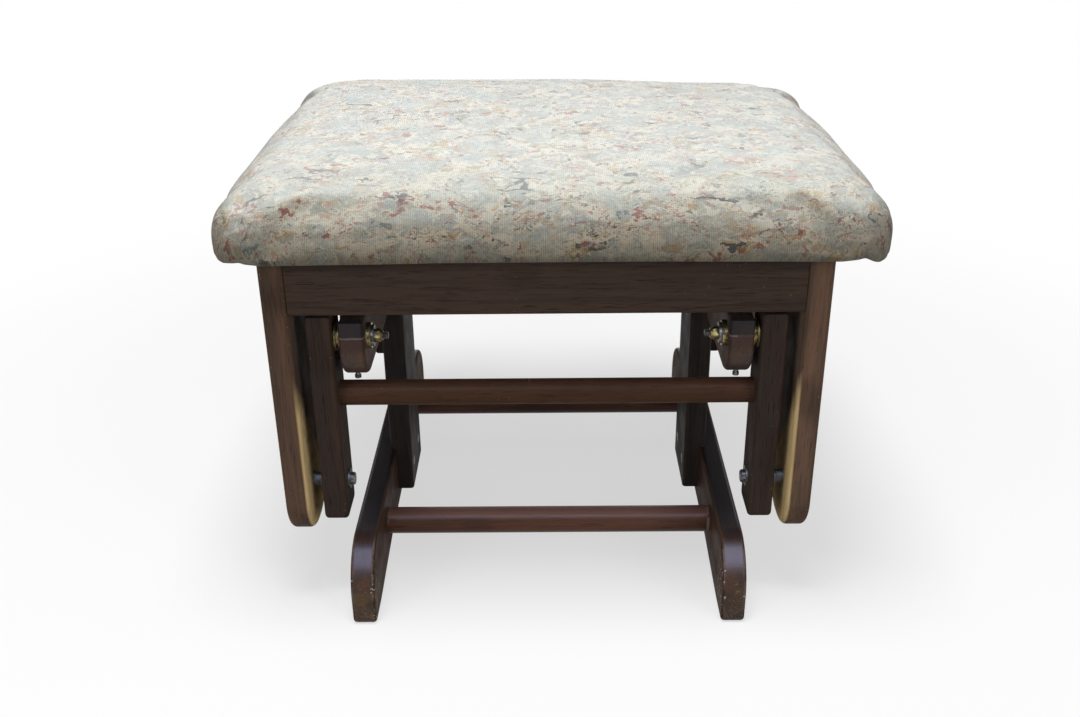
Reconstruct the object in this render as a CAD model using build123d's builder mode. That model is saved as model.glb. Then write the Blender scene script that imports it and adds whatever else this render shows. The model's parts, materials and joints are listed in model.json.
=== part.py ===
"""Glider ottoman, in millimetres. X is across, -Y is the front, +Z is up.
The origin is on the floor, under the middle of the seat.
The seat hangs from four swinging links on a fixed base, so it glides to and fro and stays level.
"""
import os
from math import cos, radians, sin

from build123d import *

os.makedirs("parts", exist_ok=True)

SIDES = (-1, 1)
SIDE_NAMES = {-1: "left", 1: "right"}
ROWS = {"front": -1, "rear": 1}

# Clearances
press = 0.02        # round a pin, screw or bush that is fixed in its hole
running = 0.05      # round a bolt that turns in its bush
thrust = 0.1        # between faces that slide past each other
soft_gap = 0.3      # round foam and fabric

# Boards, and where they stand across the ottoman
board = 21.0
foot_inner = 152.5
foot_outer = foot_inner + board
arm_inner = 150.0
arm_outer = arm_inner + board
post_inner = 137.5
post_outer = post_inner + board
edge_round = 3.5
leg_edge_round = 5.0

# Base: feet, posts and arms
foot_length = 455.0
foot_height = 70.5
toe_rake = 0.5
toe_top_round = 44.0
toe_front = 5.0
toe_front_round = 40.0
toe_bottom_round = 4.5
toe_widest = foot_height - toe_top_round - toe_front
toe_pad = 32.0
arch_height = 9.0
arch_run = 100.0
arch_round = 110.0
post_width = 80.0
post_bottom = 24.0
arm_bottom = 219.5
arm_height = 56.0
arm_beyond_pivot = 20.0
arm_lower_round = 30.0
arm_upper_round = 20.0
arm_top = arm_bottom + arm_height

# Round stretchers
base_stretcher_diameter = 25.0
base_stretcher_y = 119.0
base_stretcher_z = 38.0
link_stretcher_diameter = 22.0
link_stretcher_z = 202.3

# Swinging links and their pivots
pivot_y = 169.0
upper_pivot_z = 256.0
link_reach = 139.5
lower_pivot_z = upper_pivot_z - link_reach
link_width = 41.0
link_above = 25.0
link_below = 31.5
link_top_corner = 16.0
link_bottom_corner = 6.0
bearing_length = 5.3
link_inner = arm_outer + bearing_length + thrust
link_outer = link_inner + board
arm_length = 2 * (pivot_y + arm_beyond_pivot)

# Pivot hardware
bolt_diameter = 6.0
bush_diameter = 15.0
flange_diameter = 22.0
inner_flange = 4.0
bearing_diameter = 26.0
bearing_rim = 1.5
bearing_neck = 20.0
upper_washer_diameter = 18.0
upper_washer = 2.4
upper_nut_flats = 10.0
upper_nut = 7.0
upper_bolt_tail = 4.5
upper_head_diameter = 14.0
upper_head = 3.5
link_bush_diameter = 12.0
lower_washer_diameter = 18.0
lower_washer = 1.6
lower_head_flats = 10.0
lower_head = 4.0
spacer = 10.6
spacer_diameter = 12.0
insert_diameter = 10.0
insert_length = 14.0
set_screw_diameter = 4.0
set_screw_head = 2.5
set_screw_head_diameter = 5.5

# Seat frame
leg_inner = link_outer + thrust + spacer
leg_outer = leg_inner + board
leg_ahead = 29.0
leg_front = pivot_y + leg_ahead
leg_width = 82.0
leg_bottom = 67.0
leg_corner = 37.0
seat_top = 331.0
rail_height = 45.5
apron_recess = 2.0
apron_round = 2.0
apron_front = leg_front - apron_recess
apron_back = apron_front - board
rail_bottom = seat_top - rail_height
rail_middle = seat_top - rail_height / 2
block_size = 50.0
block_height = 40.0

# Screws and dowels
screw_diameter = 5.0
screw_head_diameter = 9.6
screw_head_depth = 2.8
foot_screw_length = 30.0
foot_screw_spread = 44.0
foot_screw_z = 47.0
stretcher_screw_length = 55.0
block_screw_length = 22.0
block_screw_seat = 8.0
block_screw_offset = 36.0
cushion_screw_length = 50.0
cushion_screw_offset = 15.0
counterbore_diameter = 11.0
dowel_diameter = 10.0
dowel_in_leg = 14.0
dowel_in_rail = 25.0
dowel_spread = 22.0

# Cushion
cushion_side_overhang = 39.9
cushion_front_overhang = 20.0
cushion_width = 2 * (leg_outer + cushion_side_overhang)
cushion_depth = 2 * (leg_front + cushion_front_overhang)
cushion_height = 61.0
cushion_corner = 46.0
draw_in = 5.0
tuck_in = 6.0
tuck_height = 9.0
side_height = 17.0
shoulder_round = 28.0
shoulder_turn = 78.0
crown_inset = 150.0
cover_thickness = 2.0
under_margin = 64.0
cushion_board = 12.0
cushion_board_inset = 34.0
cushion_board_corner = 40.0


def rod(x_near, x_far, y, z, radius, side=1, mode=Mode.ADD):
    """A round bar or hole along X, between two distances from the middle plane."""
    with Locations((side * (x_near + x_far) / 2, y, z)):
        Cylinder(radius, x_far - x_near, rotation=(0, 90, 0), mode=mode)


def screw_form(length, clearance=0.0):
    """A countersunk screw with its head at the origin and its tip along +Z."""
    with BuildPart() as form:
        with BuildSketch(Plane.XZ) as half:
            with BuildLine():
                Polyline(
                    (0, 0),
                    (screw_head_diameter / 2 + clearance, 0),
                    (screw_diameter / 2 + clearance, screw_head_depth),
                    (screw_diameter / 2 + clearance, length - screw_diameter),
                    (0, length + clearance),
                    close=True,
                )
            make_face()
        revolve(axis=Axis.Z)
    return form.part


def place_screws(form, places, turn, mode=Mode.ADD):
    """Add or cut one screw form at each place, turned so that its tip points along the screw."""
    for place in places:
        with Locations(Location(place, turn)):
            add(form, mode=mode)


TURN_OUT = {1: (0, 90, 0), -1: (0, -90, 0)}
TURN_IN = {1: (0, -90, 0), -1: (0, 90, 0)}


def post_screw_places(side, z):
    """Two screws in a row through the post's inner face."""
    return [(side * post_inner, y, z) for y in (-foot_screw_spread / 2, foot_screw_spread / 2)]


foot_screw = screw_form(foot_screw_length)
foot_screw_hole = screw_form(foot_screw_length, press)
stretcher_screw = screw_form(stretcher_screw_length)
stretcher_screw_hole = screw_form(stretcher_screw_length, press)
arm_screw_z = arm_bottom + arm_height / 2


# ---- Base ----

toe_base = foot_length / 2 - toe_rake
pad_end = toe_base - toe_pad


def outline_corners(sketch, along, height):
    """The corners of the foot's outline at a distance from its middle and a height."""
    return sketch.vertices().filter_by(lambda v: abs(abs(v.X) - along) < 0.1 and abs(v.Y - height) < 0.1)


for side in SIDES:
    half = foot_length / 2
    with BuildPart() as foot:
        with BuildSketch(Plane.YZ.offset(side * foot_inner)) as profile:
            with BuildLine():
                front_half = Polyline(
                    (0, arch_height),
                    (arch_run - pad_end, arch_height),
                    (-pad_end, 0),
                    (-toe_base, 0),
                    (-half, toe_widest),
                    (-half, foot_height),
                    (0, foot_height),
                )
                mirror(front_half, about=Plane.YZ)
            make_face()
            fillet(outline_corners(profile, pad_end, 0), arch_round)
            fillet(outline_corners(profile, toe_base, 0), toe_bottom_round)
            fillet(outline_corners(profile, half, foot_height), toe_top_round)
            fillet(outline_corners(profile, half, toe_widest), toe_front_round)
        extrude(amount=side * board)
        fillet(foot.faces().filter_by(Axis.X).edges(), edge_round)
        place_screws(foot_screw_hole, post_screw_places(side, foot_screw_z), TURN_OUT[side], Mode.SUBTRACT)
        stretcher_ends = [(side * foot_outer, y, base_stretcher_z) for y in (-base_stretcher_y, base_stretcher_y)]
        place_screws(stretcher_screw_hole, stretcher_ends, TURN_IN[side], Mode.SUBTRACT)
    foot.part.label = f"base_foot_{SIDE_NAMES[side]}"
    export_step(foot.part, f"parts/{foot.part.label}.step")

# Each post stands on the foot's top and under the arm, and laps over their inner faces.
post_steps = (
    (post_bottom, foot_height, foot_inner),
    (foot_height, arm_bottom, post_outer),
    (arm_bottom, arm_top, arm_inner),
)

for side in SIDES:
    with BuildPart() as post:
        for low, high, outer in post_steps:
            with BuildSketch(Plane.XY.offset(low)):
                with Locations((side * (post_inner + outer) / 2, 0)):
                    Rectangle(outer - post_inner, post_width)
            extrude(amount=high - low)
        upright = post.edges().filter_by(Axis.Z).group_by(Axis.X)
        fillet(upright[0] + upright[-1], edge_round)
        for z in (foot_screw_z, arm_screw_z):
            place_screws(foot_screw_hole, post_screw_places(side, z), TURN_OUT[side], Mode.SUBTRACT)
    post.part.label = f"base_post_{SIDE_NAMES[side]}"
    export_step(post.part, f"parts/{post.part.label}.step")

for side in SIDES:
    with BuildPart() as arm:
        with BuildSketch(Plane.YZ.offset(side * arm_inner)):
            with Locations((0, arm_bottom + arm_height / 2)):
                panel = Rectangle(arm_length, arm_height)
            fillet(panel.vertices().group_by(Axis.Y)[0], arm_lower_round)
            fillet(panel.vertices().group_by(Axis.Y)[-1], arm_upper_round)
        extrude(amount=side * board)
        fillet(arm.faces().filter_by(Axis.X).edges(), edge_round)
        for y in (-pivot_y, pivot_y):
            rod(arm_inner - 1, arm_outer + 1, y, upper_pivot_z, bush_diameter / 2 + press, side, Mode.SUBTRACT)
            with Locations((side * (arm_inner + board / 2), y, (arm_bottom + upper_pivot_z) / 2 - 1)):
                Cylinder(set_screw_diameter / 2 + press, upper_pivot_z - arm_bottom + 2, mode=Mode.SUBTRACT)
        place_screws(foot_screw_hole, post_screw_places(side, arm_screw_z), TURN_OUT[side], Mode.SUBTRACT)
    arm.part.label = f"base_arm_{SIDE_NAMES[side]}"
    export_step(arm.part, f"parts/{arm.part.label}.step")

for row, way in ROWS.items():
    with BuildPart() as stretcher:
        rod(-foot_inner, foot_inner, way * base_stretcher_y, base_stretcher_z, base_stretcher_diameter / 2)
        for side in SIDES:
            end = [(side * foot_outer, way * base_stretcher_y, base_stretcher_z)]
            place_screws(stretcher_screw_hole, end, TURN_IN[side], Mode.SUBTRACT)
    stretcher.part.label = f"base_stretcher_{row}"
    export_step(stretcher.part, f"parts/{stretcher.part.label}.step")

with BuildPart() as foot_post_screws:
    for side in SIDES:
        place_screws(foot_screw, post_screw_places(side, foot_screw_z), TURN_OUT[side])
foot_post_screws.part.label = "foot_post_screws"
export_step(foot_post_screws.part, "parts/foot_post_screws.step")

with BuildPart() as arm_post_screws:
    for side in SIDES:
        place_screws(foot_screw, post_screw_places(side, arm_screw_z), TURN_OUT[side])
arm_post_screws.part.label = "arm_post_screws"
export_step(arm_post_screws.part, "parts/arm_post_screws.step")

with BuildPart() as base_stretcher_screws:
    for side in SIDES:
        ends = [(side * foot_outer, y, base_stretcher_z) for y in (-base_stretcher_y, base_stretcher_y)]
        place_screws(stretcher_screw, ends, TURN_IN[side])
base_stretcher_screws.part.label = "base_stretcher_screws"
export_step(base_stretcher_screws.part, "parts/base_stretcher_screws.step")

bush_radius = bush_diameter / 2
bolt_radius = bolt_diameter / 2
with BuildPart() as arm_bushes:
    for side in SIDES:
        for y in (-pivot_y, pivot_y):
            rod(arm_inner, arm_outer, y, upper_pivot_z, bush_radius, side)
            rod(arm_inner - inner_flange, arm_inner, y, upper_pivot_z, flange_diameter / 2, side)
            bearing_end = arm_outer + bearing_length
            rod(arm_outer, arm_outer + bearing_rim, y, upper_pivot_z, bearing_diameter / 2, side)
            rod(arm_outer, bearing_end, y, upper_pivot_z, bearing_neck / 2, side)
            rod(bearing_end - bearing_rim, bearing_end, y, upper_pivot_z, bearing_diameter / 2, side)
            rod(arm_inner - inner_flange - 1, link_inner, y, upper_pivot_z, bolt_radius + running, side, Mode.SUBTRACT)
arm_bushes.part.label = "arm_bushes"
export_step(arm_bushes.part, "parts/arm_bushes.step")

with BuildPart() as bush_set_screws:
    for side in SIDES:
        for y in (-pivot_y, pivot_y):
            screw_top = upper_pivot_z - bush_radius - thrust
            with Locations((side * (arm_inner + board / 2), y, arm_bottom)):
                Cylinder(
                    set_screw_diameter / 2,
                    screw_top - arm_bottom,
                    align=(Align.CENTER, Align.CENTER, Align.MIN),
                )
                Cylinder(
                    set_screw_head_diameter / 2,
                    set_screw_head,
                    align=(Align.CENTER, Align.CENTER, Align.MAX),
                )
bush_set_screws.part.label = "bush_set_screws"
export_step(bush_set_screws.part, "parts/bush_set_screws.step")


# ---- Swinging links, front pair and rear pair ----

washer_face = arm_inner - inner_flange - thrust
nut_face = washer_face - upper_washer
bolt_tail = nut_face - upper_nut - upper_bolt_tail

for row, way in ROWS.items():
    y = way * pivot_y
    for side in SIDES:
        with BuildPart() as link:
            with BuildSketch(Plane.YZ.offset(side * link_inner)):
                with Locations((y, (upper_pivot_z + link_above + lower_pivot_z - link_below) / 2)):
                    panel = Rectangle(link_width, link_reach + link_above + link_below)
                fillet(panel.vertices().group_by(Axis.Y)[0], link_bottom_corner)
                fillet(panel.vertices().group_by(Axis.Y)[-1], link_top_corner)
            extrude(amount=side * board)
            fillet(link.faces().filter_by(Axis.X).edges(), edge_round)
            rod(link_inner - 1, link_outer + 1, y, upper_pivot_z, bolt_radius + press, side, Mode.SUBTRACT)
            rod(link_inner - 1, link_outer + 1, y, lower_pivot_z, link_bush_diameter / 2 + press, side, Mode.SUBTRACT)
            stretcher_end = [(side * link_outer, y, link_stretcher_z)]
            place_screws(stretcher_screw_hole, stretcher_end, TURN_IN[side], Mode.SUBTRACT)
        link.part.label = f"link_{row}_{SIDE_NAMES[side]}"
        export_step(link.part, f"parts/{link.part.label}.step")

    with BuildPart() as link_stretcher:
        rod(-link_inner, link_inner, y, link_stretcher_z, link_stretcher_diameter / 2)
        for side in SIDES:
            stretcher_end = [(side * link_outer, y, link_stretcher_z)]
            place_screws(stretcher_screw_hole, stretcher_end, TURN_IN[side], Mode.SUBTRACT)
    link_stretcher.part.label = f"link_stretcher_{row}"
    export_step(link_stretcher.part, f"parts/{link_stretcher.part.label}.step")

    with BuildPart() as link_stretcher_screws:
        for side in SIDES:
            place_screws(stretcher_screw, [(side * link_outer, y, link_stretcher_z)], TURN_IN[side])
    link_stretcher_screws.part.label = f"link_stretcher_screws_{row}"
    export_step(link_stretcher_screws.part, f"parts/{link_stretcher_screws.part.label}.step")

    with BuildPart() as upper_bolts:
        for side in SIDES:
            rod(bolt_tail, link_outer, y, upper_pivot_z, bolt_radius, side)
            rod(link_outer, link_outer + upper_head, y, upper_pivot_z, upper_head_diameter / 2, side)
    upper_bolts.part.label = f"upper_bolts_{row}"
    export_step(upper_bolts.part, f"parts/{upper_bolts.part.label}.step")

    with BuildPart() as upper_washers:
        for side in SIDES:
            rod(nut_face, washer_face, y, upper_pivot_z, upper_washer_diameter / 2, side)
            rod(nut_face - 1, washer_face + 1, y, upper_pivot_z, bolt_radius + press, side, Mode.SUBTRACT)
    upper_washers.part.label = f"upper_washers_{row}"
    export_step(upper_washers.part, f"parts/{upper_washers.part.label}.step")

    with BuildPart() as upper_nuts:
        for side in SIDES:
            with BuildSketch(Plane.YZ.offset(side * nut_face)):
                with Locations((y, upper_pivot_z)):
                    RegularPolygon(upper_nut_flats / 2, 6, major_radius=False)
                    Circle(bolt_radius + press, mode=Mode.SUBTRACT)
            extrude(amount=-side * upper_nut)
    upper_nuts.part.label = f"upper_nuts_{row}"
    export_step(upper_nuts.part, f"parts/{upper_nuts.part.label}.step")

    with BuildPart() as link_bushes:
        for side in SIDES:
            rod(link_inner, link_outer, y, lower_pivot_z, link_bush_diameter / 2, side)
            rod(link_inner - 1, link_outer + 1, y, lower_pivot_z, bolt_radius + running, side, Mode.SUBTRACT)
    link_bushes.part.label = f"link_bushes_{row}"
    export_step(link_bushes.part, f"parts/{link_bushes.part.label}.step")


# ---- Seat: lower pivot hardware ----

lower_washer_face = link_inner - thrust
lower_head_face = lower_washer_face - lower_washer
insert_end = leg_inner + insert_length

with BuildPart() as lower_bolts:
    for side in SIDES:
        with BuildSketch(Plane.YZ.offset(side * lower_head_face)):
            with Locations((-pivot_y, lower_pivot_z), (pivot_y, lower_pivot_z)):
                RegularPolygon(lower_head_flats / 2, 6, major_radius=False)
        extrude(amount=-side * lower_head)
        for y in (-pivot_y, pivot_y):
            rod(lower_head_face, insert_end, y, lower_pivot_z, bolt_radius, side)
lower_bolts.part.label = "lower_bolts"
export_step(lower_bolts.part, "parts/lower_bolts.step")

with BuildPart() as lower_washers:
    for side in SIDES:
        for y in (-pivot_y, pivot_y):
            rod(lower_head_face, lower_washer_face, y, lower_pivot_z, lower_washer_diameter / 2, side)
            rod(lower_head_face - 1, link_inner, y, lower_pivot_z, bolt_radius + press, side, Mode.SUBTRACT)
lower_washers.part.label = "lower_washers"
export_step(lower_washers.part, "parts/lower_washers.step")

with BuildPart() as lower_spacers:
    for side in SIDES:
        for y in (-pivot_y, pivot_y):
            rod(link_outer + thrust, leg_inner, y, lower_pivot_z, spacer_diameter / 2, side)
            rod(link_outer, leg_inner + 1, y, lower_pivot_z, bolt_radius + press, side, Mode.SUBTRACT)
lower_spacers.part.label = "lower_spacers"
export_step(lower_spacers.part, "parts/lower_spacers.step")

with BuildPart() as leg_inserts:
    for side in SIDES:
        for y in (-pivot_y, pivot_y):
            rod(leg_inner, insert_end, y, lower_pivot_z, insert_diameter / 2, side)
            rod(leg_inner - 1, insert_end + 1, y, lower_pivot_z, bolt_radius + press, side, Mode.SUBTRACT)
leg_inserts.part.label = "leg_inserts"
export_step(leg_inserts.part, "parts/leg_inserts.step")


# ---- Seat: legs, aprons and rails ----

leg_back = leg_front - leg_width
leg_middle = leg_front - leg_width / 2
apron_middle = apron_front - board / 2
rail_across = leg_inner + board / 2
dowel_levels = (rail_middle - dowel_spread / 2, rail_middle + dowel_spread / 2)
block_screw = screw_form(block_screw_length)
block_screw_hole = screw_form(block_screw_length, press)
TURN_ALONG = {1: (-90, 0, 0), -1: (90, 0, 0)}


def apron_screw(side, way):
    """Where the corner block's screw into the apron has its head."""
    return (side * (leg_inner - block_screw_offset), way * (apron_back - block_screw_seat), rail_middle)


def leg_screw(side, way):
    """Where the corner block's screw into the leg has its head."""
    return (side * (leg_inner - block_screw_seat), way * (apron_back - block_screw_offset), rail_middle)


def dowels_across(side, way, clearance=0.0, mode=Mode.ADD):
    """The two dowels that join an apron's end to a leg."""
    for z in dowel_levels:
        near = leg_inner - dowel_in_rail - clearance
        far = leg_inner + dowel_in_leg + clearance
        rod(near, far, way * apron_middle, z, dowel_diameter / 2 + clearance, side, mode)


def dowels_along(side, way, clearance=0.0, mode=Mode.ADD):
    """The two dowels that join a side rail's end to a leg."""
    for z in dowel_levels:
        length = dowel_in_rail + dowel_in_leg + 2 * clearance
        middle = leg_back + (dowel_in_leg - dowel_in_rail) / 2
        with Locations((side * rail_across, way * middle, z)):
            Cylinder(dowel_diameter / 2 + clearance, length, rotation=(90, 0, 0), mode=mode)


for row, way in ROWS.items():
    for side in SIDES:
        with BuildPart() as leg:
            with BuildSketch(Plane.YZ.offset(side * leg_inner)):
                with Locations((way * leg_middle, (leg_bottom + seat_top) / 2)):
                    panel = Rectangle(leg_width, seat_top - leg_bottom)
                fillet(panel.vertices().group_by(Axis.Y)[0], leg_corner)
            extrude(amount=side * board)
            faces = leg.faces().filter_by(Axis.X)
            fillet(faces.edges().filter_by(lambda e: e.center().Z < seat_top - 1), leg_edge_round)
            rod(leg_inner - 1, insert_end, way * pivot_y, lower_pivot_z, insert_diameter / 2 + press, side, Mode.SUBTRACT)
            dowels_across(side, way, press, Mode.SUBTRACT)
            dowels_along(side, way, press, Mode.SUBTRACT)
            place_screws(block_screw_hole, [leg_screw(side, way)], TURN_OUT[side], Mode.SUBTRACT)
        leg.part.label = f"seat_leg_{row}_{SIDE_NAMES[side]}"
        export_step(leg.part, f"parts/{leg.part.label}.step")

for row, way in ROWS.items():
    with BuildPart() as apron:
        with Locations((0, way * apron_middle, rail_middle)):
            Box(2 * leg_inner, board, rail_height)
        lower_edges = apron.edges().filter_by(Axis.X).group_by(Axis.Z)[0]
        fillet(lower_edges, apron_round)
        for side in SIDES:
            dowels_across(side, way, press, Mode.SUBTRACT)
            place_screws(block_screw_hole, [apron_screw(side, way)], TURN_ALONG[way], Mode.SUBTRACT)
    apron.part.label = f"apron_{row}"
    export_step(apron.part, f"parts/{apron.part.label}.step")

for side in SIDES:
    with BuildPart() as side_rail:
        with Locations((side * rail_across, 0, rail_middle)):
            Box(board, 2 * leg_back, rail_height)
        lower_edges = side_rail.edges().filter_by(Axis.Y).group_by(Axis.Z)[0]
        fillet(lower_edges, leg_edge_round)
        for way in ROWS.values():
            dowels_along(side, way, press, Mode.SUBTRACT)
    side_rail.part.label = f"side_rail_{SIDE_NAMES[side]}"
    export_step(side_rail.part, f"parts/{side_rail.part.label}.step")

with BuildPart() as apron_dowels:
    for side in SIDES:
        for way in ROWS.values():
            dowels_across(side, way)
apron_dowels.part.label = "apron_dowels"
export_step(apron_dowels.part, "parts/apron_dowels.step")

with BuildPart() as side_rail_dowels:
    for side in SIDES:
        for way in ROWS.values():
            dowels_along(side, way)
side_rail_dowels.part.label = "side_rail_dowels"
export_step(side_rail_dowels.part, "parts/side_rail_dowels.step")


# ---- Seat: corner blocks and their screws ----

block_bottom = seat_top - block_height
cushion_base = seat_top + soft_gap
cushion_board_bottom = cushion_base + cover_thickness
cushion_screw = screw_form(cushion_screw_length)
cushion_screw_hole = screw_form(cushion_screw_length, press)
cushion_screw_places = [
    (side * (leg_inner - cushion_screw_offset), way * (apron_back - cushion_screw_offset), block_bottom)
    for side in SIDES
    for way in ROWS.values()
]

with BuildPart() as corner_blocks:
    for side in SIDES:
        for way in ROWS.values():
            with BuildSketch(Plane.XY.offset(block_bottom)):
                with BuildLine():
                    Polyline(
                        (side * leg_inner, way * apron_back),
                        (side * (leg_inner - block_size), way * apron_back),
                        (side * leg_inner, way * (apron_back - block_size)),
                        close=True,
                    )
                make_face()
            extrude(amount=block_height)
    for side in SIDES:
        for way in ROWS.values():
            place_screws(block_screw_hole, [apron_screw(side, way)], TURN_ALONG[way], Mode.SUBTRACT)
            place_screws(block_screw_hole, [leg_screw(side, way)], TURN_OUT[side], Mode.SUBTRACT)
            x, y, z = apron_screw(side, way)
            with Locations((x, y - way * block_size / 2, z)):
                Cylinder(counterbore_diameter / 2, block_size, rotation=(90, 0, 0), mode=Mode.SUBTRACT)
            x, y, z = leg_screw(side, way)
            with Locations((x - side * block_size / 2, y, z)):
                Cylinder(counterbore_diameter / 2, block_size, rotation=(0, 90, 0), mode=Mode.SUBTRACT)
    place_screws(cushion_screw_hole, cushion_screw_places, (0, 0, 0), Mode.SUBTRACT)
corner_blocks.part.label = "corner_blocks"
export_step(corner_blocks.part, "parts/corner_blocks.step")

with BuildPart() as corner_block_screws:
    for side in SIDES:
        for way in ROWS.values():
            place_screws(block_screw, [apron_screw(side, way)], TURN_ALONG[way])
            place_screws(block_screw, [leg_screw(side, way)], TURN_OUT[side])
corner_block_screws.part.label = "corner_block_screws"
export_step(corner_block_screws.part, "parts/corner_block_screws.step")

with BuildPart() as cushion_screws:
    place_screws(cushion_screw, cushion_screw_places, (0, 0, 0))
cushion_screws.part.label = "cushion_screws"
export_step(cushion_screws.part, "parts/cushion_screws.step")


# ---- Cushion: board, foam and cover ----

def cushion_levels(skin):
    """Heights above the cushion's base, and how far the outline is drawn in at each."""
    top = cushion_height - skin
    levels = []
    for angle in (0, 40, 90):
        inset = tuck_in * (1 - sin(radians(angle)))
        levels.append((skin + (tuck_height - skin) * (1 - cos(radians(angle))), inset))
    shoulder = tuck_height + side_height
    for angle in (0, 30, 55, shoulder_turn):
        inset = shoulder_round * (1 - cos(radians(angle)))
        levels.append((shoulder + (shoulder_round - skin) * sin(radians(angle)), inset))
    crown_start, start_inset = levels[-1]
    for share in (0.25, 0.6, 1.0):
        inset = start_inset + share * (crown_inset - start_inset)
        levels.append((crown_start + (top - crown_start) * (1 - (1 - share) ** 2), inset))
    return levels


def cushion_form(skin):
    """The cushion's crowned shape, with its outline drawn in by the thickness of a skin."""
    with BuildPart() as form:
        for height, inset in cushion_levels(skin):
            with BuildSketch(Plane.XY.offset(cushion_base + height)):
                a = cushion_width / 2 - skin - inset
                b = cushion_depth / 2 - skin - inset
                scale = b / (cushion_depth / 2)
                r = cushion_corner * scale
                dip = draw_in * scale
                k = r * (1 - cos(radians(45)))
                with BuildLine():
                    ThreePointArc((a, -b + r), (a - dip, 0), (a, b - r))
                    ThreePointArc((a, b - r), (a - k, b - k), (a - r, b))
                    ThreePointArc((a - r, b), (0, b - dip), (-a + r, b))
                    ThreePointArc((-a + r, b), (-a + k, b - k), (-a, b - r))
                    ThreePointArc((-a, b - r), (-a + dip, 0), (-a, -b + r))
                    ThreePointArc((-a, -b + r), (-a + k, -b + k), (-a + r, -b))
                    ThreePointArc((-a + r, -b), (0, -b + dip), (a - r, -b))
                    ThreePointArc((a - r, -b), (a - k, -b + k), (a, -b + r))
                make_face()
        loft(ruled=True)
    return form.part


board_half_width = cushion_width / 2 - cushion_board_inset
board_half_depth = cushion_depth / 2 - cushion_board_inset

with BuildPart() as cushion_panel:
    with BuildSketch(Plane.XY.offset(cushion_board_bottom)):
        RectangleRounded(2 * board_half_width, 2 * board_half_depth, cushion_board_corner)
    extrude(amount=cushion_board)
    place_screws(cushion_screw_hole, cushion_screw_places, (0, 0, 0), Mode.SUBTRACT)
cushion_panel.part.label = "cushion_board"
export_step(cushion_panel.part, "parts/cushion_board.step")

with BuildPart() as cushion_cover:
    add(cushion_form(0.0))
    add(cushion_form(cover_thickness), mode=Mode.SUBTRACT)
    with BuildSketch(Plane.XY.offset(cushion_base - 1)):
        RectangleRounded(cushion_width - 2 * under_margin, cushion_depth - 2 * under_margin, cushion_board_corner / 2)
    extrude(amount=cover_thickness + 2, mode=Mode.SUBTRACT)
    place_screws(cushion_screw_hole, cushion_screw_places, (0, 0, 0), Mode.SUBTRACT)
cushion_cover.part.label = "cushion_cover"
export_step(cushion_cover.part, "parts/cushion_cover.step")

with BuildPart() as cushion_foam:
    add(cushion_form(cover_thickness + soft_gap))
    with BuildSketch(Plane.XY.offset(cushion_base)):
        RectangleRounded(
            2 * (board_half_width + soft_gap),
            2 * (board_half_depth + soft_gap),
            cushion_board_corner,
        )
    extrude(amount=cover_thickness + cushion_board + soft_gap, mode=Mode.SUBTRACT)
cushion_foam.part.label = "cushion_foam"
export_step(cushion_foam.part, "parts/cushion_foam.step")

print("travel each way at 22 degrees:", round(link_reach * sin(radians(22)), 1), "mm")
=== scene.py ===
"""The glider ottoman's finish: upholstery, stained and worn wood, brass and steel, light and camera.

Lengths are in metres. X is across, -Y is the front, +Z is up, and the floor is at zero.
"""
import json
from itertools import count
from math import cos, pi, radians, sin

import bmesh
import bpy
import numpy as np
from mathutils import Matrix, Vector

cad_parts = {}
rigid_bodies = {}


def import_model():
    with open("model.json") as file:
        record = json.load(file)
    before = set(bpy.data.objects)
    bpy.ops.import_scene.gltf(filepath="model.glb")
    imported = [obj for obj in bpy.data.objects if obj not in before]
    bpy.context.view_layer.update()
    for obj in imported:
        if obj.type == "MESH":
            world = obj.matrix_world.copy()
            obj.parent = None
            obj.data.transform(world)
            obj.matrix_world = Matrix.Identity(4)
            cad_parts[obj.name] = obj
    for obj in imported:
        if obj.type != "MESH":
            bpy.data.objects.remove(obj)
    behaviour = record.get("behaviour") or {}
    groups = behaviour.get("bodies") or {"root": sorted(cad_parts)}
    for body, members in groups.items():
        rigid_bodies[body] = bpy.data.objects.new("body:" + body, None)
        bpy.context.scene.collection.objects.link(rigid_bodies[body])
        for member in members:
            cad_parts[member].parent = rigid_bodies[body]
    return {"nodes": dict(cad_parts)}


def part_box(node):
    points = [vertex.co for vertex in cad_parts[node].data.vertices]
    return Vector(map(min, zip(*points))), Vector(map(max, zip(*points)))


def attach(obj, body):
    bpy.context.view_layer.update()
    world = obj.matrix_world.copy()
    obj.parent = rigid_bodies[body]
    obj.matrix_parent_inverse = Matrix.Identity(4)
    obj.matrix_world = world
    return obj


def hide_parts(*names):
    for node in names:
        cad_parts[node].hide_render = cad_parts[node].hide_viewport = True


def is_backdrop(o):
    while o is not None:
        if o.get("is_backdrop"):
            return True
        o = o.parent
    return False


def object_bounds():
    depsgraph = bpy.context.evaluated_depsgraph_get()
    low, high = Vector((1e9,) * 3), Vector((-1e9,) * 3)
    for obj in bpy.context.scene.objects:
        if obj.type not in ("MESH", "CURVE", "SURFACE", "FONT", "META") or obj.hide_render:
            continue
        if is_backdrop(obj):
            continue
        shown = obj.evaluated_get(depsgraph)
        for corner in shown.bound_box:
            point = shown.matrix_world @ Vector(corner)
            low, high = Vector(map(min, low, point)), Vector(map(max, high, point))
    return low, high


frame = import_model()
cad_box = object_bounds()
nodes = frame["nodes"]

SIDES = {"left": -1, "right": 1}
ROWS = ("front", "rear")


# ---------------------------------------------------------------- small tools

def deselect_all():
    """Leave nothing selected, because loading the frame leaves its pieces selected."""
    for thing in bpy.context.view_layer.objects:
        thing.select_set(False)


def pick(thing):
    """Select one object alone and make it the active one."""
    deselect_all()
    thing.select_set(True)
    bpy.context.view_layer.objects.active = thing


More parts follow.
